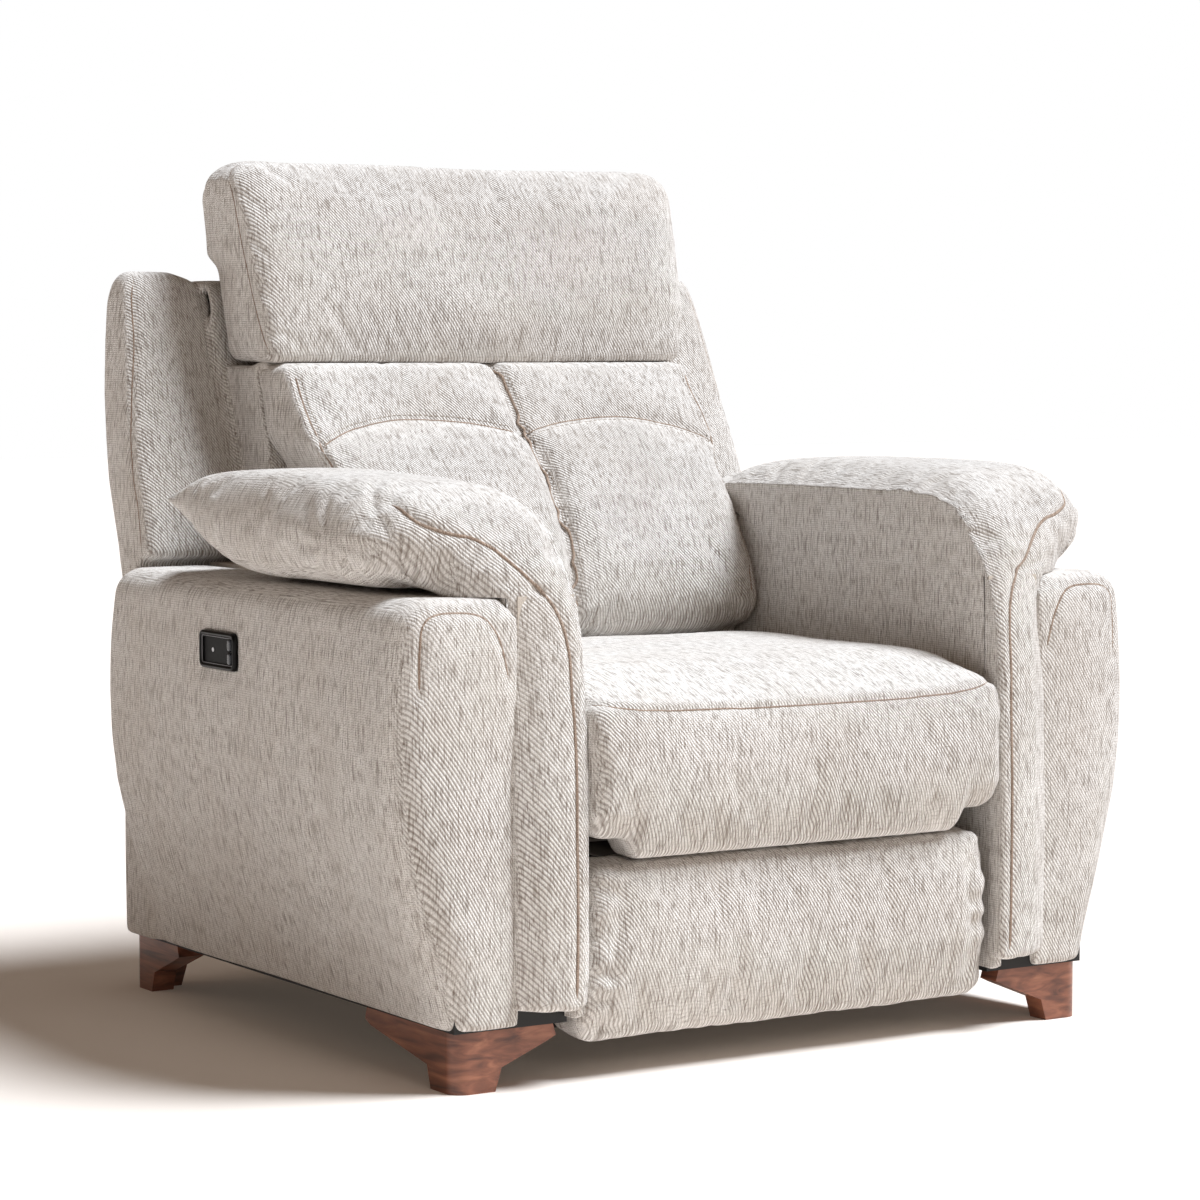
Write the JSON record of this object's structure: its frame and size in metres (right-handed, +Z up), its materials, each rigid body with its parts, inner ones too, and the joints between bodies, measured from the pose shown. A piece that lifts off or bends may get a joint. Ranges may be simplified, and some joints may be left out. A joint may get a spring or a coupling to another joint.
{
  "type": "power recliner armchair",
  "caption": "Upholstered recliner armchair with winged back, head cushion, waterfall arms, pull-out footrest, side push-button control and bracket feet.",
  "frame": {"origin": "on the floor under the middle of the chair's box, with the footrest folded and the back upright", "axes": "+Z up, -Y to the chair's front, +X to the right of somebody facing the chair"},
  "size_m": [1.0286, 0.942, 1.048],
  "materials": {
    "walnut": "satin",
    "base_paint": "matt black paint",
    "ply": "unfinished plywood",
    "upholstery": "beige rib weave",
    "steel": "black enamel",
    "bright_steel": "zinc plate",
    "gloss_black": "gloss",
    "matt_black": "matt",
    "lens": "clear"
  },
  "bodies": {
    "base": {"foot_front_left": "walnut", "foot_front_right": "walnut", "foot_rear_left": "walnut", "foot_rear_right": "walnut", "plinth": "base_paint", "arm_frame_left": "ply", "arm_frame_right": "ply", "arm_panel_left": "upholstery", "arm_panel_right": "upholstery", "arm_pad_left": "upholstery", "arm_pad_right": "upholstery", "seat_channel_left": "steel", "seat_channel_right": "steel", "back_pivot_left": "bright_steel", "back_pivot_right": "bright_steel", "rear_skirt": "upholstery", "power_inlet": "matt_black", "control_box": "matt_black", "control_bezel": "gloss_black", "control_fascia": "matt_black", "indicator_lens": "lens", "recline_motor": "matt_black"},
    "button_upper": {"button_upper": "matt_black"},
    "button_lower": {"button_lower": "matt_black"},
    "seat": {"seat_frame": "steel", "seat_deck": "ply", "seat_tube": "steel", "actuator_rod": "bright_steel", "footrest_motor": "matt_black", "seat_cushion": "upholstery", "shaft_hanger_left": "steel", "shaft_hanger_right": "steel", "slot_hanger_left": "steel", "slot_hanger_right": "steel"},
    "link_drive": {"drive_shaft": "bright_steel", "drive_link_left": "steel", "drive_link_right": "steel"},
    "link_cross": {"cross_link_left": "steel", "cross_link_right": "steel"},
    "link_strut": {"strut_left": "steel", "strut_right": "steel"},
    "footrest": {"footrest_link_left": "steel", "footrest_link_right": "steel", "footrest_board": "ply", "footrest_pad": "upholstery"},
    "backrest": {"back_panel": "upholstery", "back_frame": "ply", "lumbar_cushion": "upholstery", "wing_left": "upholstery", "wing_right": "upholstery", "back_bracket_left": "steel", "back_bracket_right": "steel", "head_hinge_left": "bright_steel", "head_hinge_right": "bright_steel"},
    "head": {"head_knuckle_left": "bright_steel", "head_knuckle_right": "bright_steel", "head_cushion": "upholstery"}
  },
  "joints": [
    {"name": "recline", "type": "hinge", "parent": "base", "child": "backrest", "pos_m": [0, 0.302, 0.4], "axis": [-1, 0, 0], "range_deg": [0, 28]},
    {"name": "seat_slide", "type": "slide", "parent": "base", "child": "seat", "axis": [0, -1, 0], "range_m": [0, 0.04987]},
    {"name": "head_tilt", "type": "hinge", "parent": "backrest", "child": "head", "pos_m": [0, 0.258, 0.79], "axis": [1, 0, 0], "range_deg": [0, 35]},
    {"name": "footrest_drive", "type": "hinge", "parent": "seat", "child": "link_drive", "pos_m": [0, -0.31, 0.256], "axis": [-1, 0, 0], "range_deg": [0, 83]},
    {"name": "cross_link_turn", "type": "hinge", "parent": "link_drive", "child": "link_cross", "pos_m": [0, -0.31718, 0.15325], "axis": [-1, 0, 0], "range_deg": [-166, 0]},
    {"name": "strut_turn", "type": "hinge", "parent": "link_drive", "child": "link_strut", "pos_m": [0, -0.32437, 0.0505], "axis": [-1, 0, 0], "range_deg": [-166, 0]},
    {"name": "footrest_turn", "type": "hinge", "parent": "link_cross", "child": "footrest", "pos_m": [0, -0.32437, 0.256], "axis": [-1, 0, 0], "range_deg": [0, 166]},
    {"name": "press_upper", "type": "slide", "parent": "base", "child": "button_upper", "axis": [1, 0, 0], "range_m": [0, 0.0015], "stiffness_N_per_m": 400, "springref_m": -0.001},
    {"name": "press_lower", "type": "slide", "parent": "base", "child": "button_lower", "axis": [1, 0, 0], "range_m": [0, 0.0015], "stiffness_N_per_m": 400, "springref_m": -0.001}
  ],
  "couplings": [
    {"joint": "seat_slide", "follows": "recline", "m_per_rad": 0.10204},
    {"joint": "cross_link_turn", "follows": "footrest_drive", "ratio": -2},
    {"joint": "strut_turn", "follows": "footrest_drive", "ratio": -2},
    {"joint": "footrest_turn", "follows": "footrest_drive", "ratio": 2}
  ]
}
